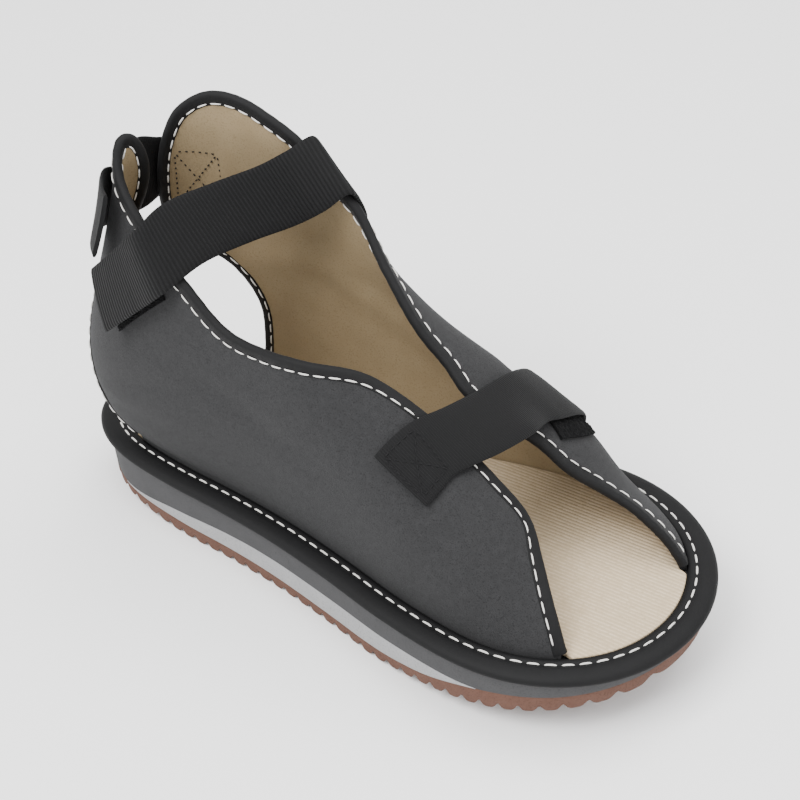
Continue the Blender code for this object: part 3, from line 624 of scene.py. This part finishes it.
def ground_rise(along):
    reach = STITCH_LENGTH / 2 + RIM_OUT - LIP_SETBACK
    toe = np.clip((along - FLAT_TO) / (reach - FLAT_TO), 0, 1.1) ** ROCKER_POWER * TOE_RISE
    heel = np.clip((FLAT_FROM - along) / (reach + FLAT_FROM), 0, 1.1) ** ROCKER_POWER * HEEL_RISE
    return toe + heel


def slab(name, stations, low, high, finish, replaced, soften, out=0.0):
    """A sole layer between two heights, its sides a little rounded."""
    along, width = outline(np.linspace(0.002, 0.998, 900), RIM_OUT - LIP_SETBACK + out)
    half = np.interp(stations, along, width)
    levels = [0.0, 0.06, 0.2, 0.5, 0.8, 0.94, 1.0]
    pulls = [1.0, 0.35, 0.0, 0.0, 0.0, 0.35, 1.0]
    rows = []
    for x, y, z0, z1 in zip(stations, half, low, high):
        pull = [soften * min(1.0, (z1 - z0) / (4 * soften)) * p for p in pulls]
        side = [(x, y - p, z0 + (z1 - z0) * t) for t, p in zip(levels, pull)]
        rows.append(side + [(x, -y + p, z0 + (z1 - z0) * t) for t, p in zip(levels[::-1], pull[::-1])])
    size = len(rows[0])
    points = np.array(rows).reshape(-1, 3)
    return outward_faces(build(name, points, tube_faces(len(rows), size), [finish], replaced))


def ended(stations):
    """Stations with extra ones close together at heel and toe, where the outline turns."""
    along, _ = outline(np.linspace(0.004, 0.996, 260), RIM_OUT - LIP_SETBACK)
    tips = along[np.abs(along) > 0.40 * STITCH_LENGTH]
    inner = stations[(stations > along[0]) & (stations < along[-1])]
    return np.unique(np.round(np.concatenate([tips, inner]), 6))


def platform():
    step = TREAD_PITCH / 12
    stations = ended(np.arange(-0.14, 0.14, step))
    phase = ((stations - TREAD_START) / TREAD_PITCH + 0.5) % 1.0 - 0.5
    depth = np.interp(np.abs(phase), [0, 0.16, 0.24, 0.32, 0.40, 0.46, 0.5], [0, 0.01, 0.09, 0.30, 0.66, 0.92, 1.0])
    low = ground_rise(stations) + depth * TREAD_DEPTH
    slab("tread_rubber", stations, low, layer_height(2, stations) - 0.02 * MM, RUBBER, ["outsole"],
         0.25 * MM)
    wedge = np.linspace(WEDGE_FROM, WEDGE_TO, 160)
    low = layer_height(2, wedge)
    high = np.maximum(layer_height(1, wedge), low + 0.1 * MM)
    slab("wedge_foam", wedge, low, high, FOAM_WHITE, ["rocker_wedge"], 0.12 * MM)
    stations = ended(np.arange(-0.14, 0.14, 2 * MM))
    under = np.maximum(layer_height(1, stations), layer_height(2, stations)) + 0.02 * MM
    top = np.full_like(stations, PLATFORM_HEIGHT - RIM_THICK - 0.2 * MM)
    slab("midsole_foam", stations, under, top, FOAM_GREY, ["midsole"], 0.2 * MM)


def rim():
    top = PLATFORM_HEIGHT
    lip = RIM_OUT - LIP_SETBACK + CLEAR
    section = np.array([
        (-RIM_IN, top - RIM_THIN), (-RIM_IN, top - 0.7 * MM), (-RIM_IN + 0.4 * MM, top - 0.2 * MM),
        (-2.2 * MM, top + 0.10 * MM), (-1.2 * MM, top + 0.30 * MM), (-0.6 * MM, top + 0.12 * MM),
        (0.0, top - 0.12 * MM), (0.7 * MM, top + 0.10 * MM), (1.6 * MM, top + 0.38 * MM), (2.8 * MM, top + 0.36 * MM),
        (4.2 * MM, top + 0.20 * MM), (5.4 * MM, top - 0.10 * MM), (6.5 * MM, top - 0.55 * MM),
        (7.2 * MM, top - 1.15 * MM), (7.65 * MM, top - 1.9 * MM), (7.7 * MM, top - 2.5 * MM),
        (7.45 * MM, top - 3.1 * MM), (7.0 * MM, top - 3.6 * MM), (6.2 * MM, top - 4.0 * MM),
        (lip, top - RIM_THICK - 0.7 * MM), (lip, top - RIM_THICK), (2 * CLEAR, top - RIM_THICK),
        (2 * CLEAR, top - RIM_THIN),
    ])
    loops = [loop_outline(240, out) for out in section[:, 0]]
    grid = np.stack([np.concatenate([loop, np.full((len(loop), 1), z)], 1) for loop, z in zip(loops, section[:, 1])], 1)
    faces = tube_faces(len(grid), len(section), closed=True)
    outward_faces(build("rim_band", grid.reshape(-1, 3), faces, [RIM], ["platform_rim"]))
    line = loop_outline(400, 0.0)
    line = np.concatenate([line, line[:1]])
    points = np.concatenate([line, np.full((len(line), 1), top - 0.10 * MM)], 1)
    stitches("rim_stitches", points, np.tile([0.0, 0.0, 1.0], (len(points), 1)), 4.6 * MM, 1.4 * MM, 0.33 * MM,
             THREAD)


def footbed():
    hidden, shown = RIM_IN + CLEAR + WALL + CLEAR, RIM_IN + CLEAR
    ends = {NEAR: (NEAR_EDGE[0][0], NEAR_EDGE[-1][0]), FAR: (FAR_EDGE[0][0], FAR_EDGE[-1][0])}

    def reach(extra):
        def at(side, turn):
            first, last = ends[side]
            covered = np.clip((turn - first) / 0.012 + 0.5, 0, 1) * np.clip((last - turn) / 0.012 + 0.5, 0, 1)
            return -(shown + (hidden - shown) * covered) - extra
        return at

    low, high = PLATFORM_HEIGHT - RIM_THIN, PLATFORM_HEIGHT - RIM_THIN + 1.5 * MM
    levels = [(0.0, low), (0.0, high - 0.5 * MM), (0.15 * MM, high - 0.15 * MM), (0.5 * MM, high), (6 * MM, high + 0.1 * MM)]
    loops = [np.concatenate([loop_outline(220, reach(extra)), np.full((440, 1), z)], 1) for extra, z in levels]
    size = len(loops[0])
    points = np.vstack(loops)
    faces = [tuple(reversed(range(size)))]
    for n in range(len(loops) - 1):
        faces += [(n * size + k, n * size + (k + 1) % size, (n + 1) * size + (k + 1) % size, (n + 1) * size + k)
                  for k in range(size)]
    faces.append(tuple(range((len(loops) - 1) * size, len(loops) * size)))
    build("insole_cover", points, faces, [INSOLE], ["insole"], None, points[:, :2])


platform()
rim()
footbed()
quarter("near_quarter", NEAR, NEAR_EDGE, 420, 2.4 * MM, ["upper"])
quarter("far_quarter", FAR, FAR_EDGE, 520, 2.4 * MM, ["upper"])
tape("near_edge_tape", NEAR, NEAR_EDGE, 460, ["near_binding"])
tape("far_edge_tape", FAR, FAR_EDGE, 560, ["far_binding"])
edge_stitches("near_edge_stitches_outside", NEAR, NEAR_EDGE, 4.1 * MM, 4.4 * MM, False)
edge_stitches("near_edge_stitches_inside", NEAR, NEAR_EDGE, 4.1 * MM, 4.4 * MM, True)
edge_stitches("far_edge_stitches_outside", FAR, FAR_EDGE, 4.1 * MM, 4.4 * MM, False)
edge_stitches("far_edge_stitches_inside", FAR, FAR_EDGE, 4.1 * MM, 4.4 * MM, True)

patched = 2 * CLEAR + PATCH_THICK + STRAP_THICK / 2
sewn = BINDING_PROUD + CLEAR + STRAP_THICK / 2
rings = [ring_on_wall(NEAR, row, WEBBING_WIDTH, patched, SHARES) for row in ANKLE_NEAR]
rings += [ring_free(row, WEBBING_WIDTH, SHARES) for row in ANKLE_FREE]
rings += [ring_on_wall(FAR, row, WEBBING_WIDTH, sewn, SHARES) for row in ANKLE_FAR]
strap("ankle_webbing", rings, 300, WEBBING_WIDTH, WEBBING, ["ankle_strap"])
patch("ankle_hook_pile", NEAR, ANKLE_PATCH, 12 * MM, ["ankle_hook_patch"])
rings = [ring_on_wall(NEAR, row, WEBBING_WIDTH, sewn, SHARES) for row in FOREFOOT_NEAR]
rings += [ring_free(row, WEBBING_WIDTH, SHARES) for row in FOREFOOT_FREE]
rings += [ring_on_wall(FAR, row, WEBBING_WIDTH, patched, SHARES) for row in FOREFOOT_FAR]
_, grid, normal = strap("forefoot_webbing", rings, 240, WEBBING_WIDTH, WEBBING_FINE, ["forefoot_strap"])
facing = 1 if normal[5, 5] @ wall_frame(NEAR, walk_of(0.6), 0.4 * WALL_RISE)[1] > 0 else -1
sewn_box("forefoot_sewn_box", grid, normal, 4, 34, 0.76, DARK_THREAD, facing)
patch("forefoot_loop_pile", FAR, FOREFOOT_PATCH, 30 * MM, ["forefoot_loop_patch"])
rings = [ring_on_wall(FAR, row, HEEL_STRAP_WIDTH, sewn, SHARES) for row in HEEL_FAR]
rings += [ring_free(row, HEEL_STRAP_WIDTH, SHARES) for row in HEEL_FREE]
rings += [ring_on_wall(NEAR, row, HEEL_STRAP_WIDTH, sewn, SHARES) for row in HEEL_NEAR]
strap("heel_webbing", rings, 220, HEEL_STRAP_WIDTH, WEBBING_FINE, ["heel_strap"])


def stitched_through(name, side, corners, inner):
    """Thread holes in the lining where a strap is sewn through: a box with a cross."""
    lift = -WALL if inner else 0.0
    order = [(0, 1), (1, 2), (2, 3), (3, 0), (0, 2), (1, 3)]
    for n, (i, j) in enumerate(order):
        (t0, r0), (t1, r1) = corners[i], corners[j]
        share = np.linspace(0, 1, 40)
        walk = walk_of(t0) + (walk_of(t1) - walk_of(t0)) * share
        rise = (r0 + (r1 - r0) * share) * WALL_RISE
        points = on_wall(side, walk, rise, np.full(40, lift))
        _, outward, _, _ = wall_frame(side, walk, rise)
        stitches(f"{name}_{n + 1}", points, -outward if inner else outward, 1.1 * MM, 1.5 * MM, 0.25 * MM,
                 DARK_THREAD)


stitched_through("heel_strap_sewing", FAR, [(0.205, 0.66), (0.205, 0.84), (0.285, 0.82), (0.285, 0.64)], True)


def camera():
    azimuth, elevation, roll, distance = math.radians(37.58), math.radians(41.35), math.radians(-4.93), 0.599
    back = Vector((math.sin(azimuth) * math.cos(elevation), -math.cos(azimuth) * math.cos(elevation),
                   math.sin(elevation)))
    right = Vector((math.cos(azimuth), math.sin(azimuth), 0))
    up = back.cross(right)
    across = right * math.cos(roll) + up * math.sin(roll)
    over = -right * math.sin(roll) + up * math.cos(roll)
    lens = bpy.data.cameras.new("camera")
    lens.lens = 1542.0 / 800 * 36
    lens.sensor_width = 36
    lens.shift_x = (400 - 379) / 800
    lens.shift_y = (490 - 400) / 800
    lens.clip_start, lens.clip_end = 0.01, 20
    eye = bpy.data.objects.new("camera", lens)
    turn = Matrix((across, over, back)).transposed().to_4x4()
    eye.matrix_world = Matrix.Translation(back * distance + Vector((0, 0, PLATFORM_HEIGHT))) @ turn
    bpy.context.scene.collection.objects.link(eye)
    bpy.context.scene.camera = eye


def studio():
    bpy.ops.mesh.primitive_plane_add(size=8, location=(0, 0, -0.0002))
    floor = bpy.context.object
    floor.name = "floor"
    white = bpy.data.materials.new("floor_white")
    white.use_nodes = True
    white.node_tree.nodes["Principled BSDF"].inputs["Base Color"].default_value = (0.95, 0.95, 0.95, 1)
    white.node_tree.nodes["Principled BSDF"].inputs["Roughness"].default_value = 0.9
    floor.data.materials.append(white)
    world = bpy.data.worlds.new("studio")
    bpy.context.scene.world = world
    world.use_nodes = True
    world.node_tree.nodes["Background"].inputs["Color"].default_value = (1, 1, 1, 1)
    world.node_tree.nodes["Background"].inputs["Strength"].default_value = 1.0
    for name, place, size, power in (("key", (-0.3, -0.9, 1.5), 1.0, 40), ("fill", (1.2, -0.4, 0.9), 1.2, 10),
                                     ("top", (0.2, 0.5, 1.6), 1.4, 26)):
        lamp = bpy.data.lights.new(name, "AREA")
        lamp.size = size
        lamp.energy = power
        holder = bpy.data.objects.new(name, lamp)
        holder.location = place
        holder.rotation_mode = "QUATERNION"
        holder.rotation_quaternion = (Vector((0, 0, 0.05)) - Vector(place)).to_track_quat("-Z", "Y")
        bpy.context.scene.collection.objects.link(holder)


camera()
studio()
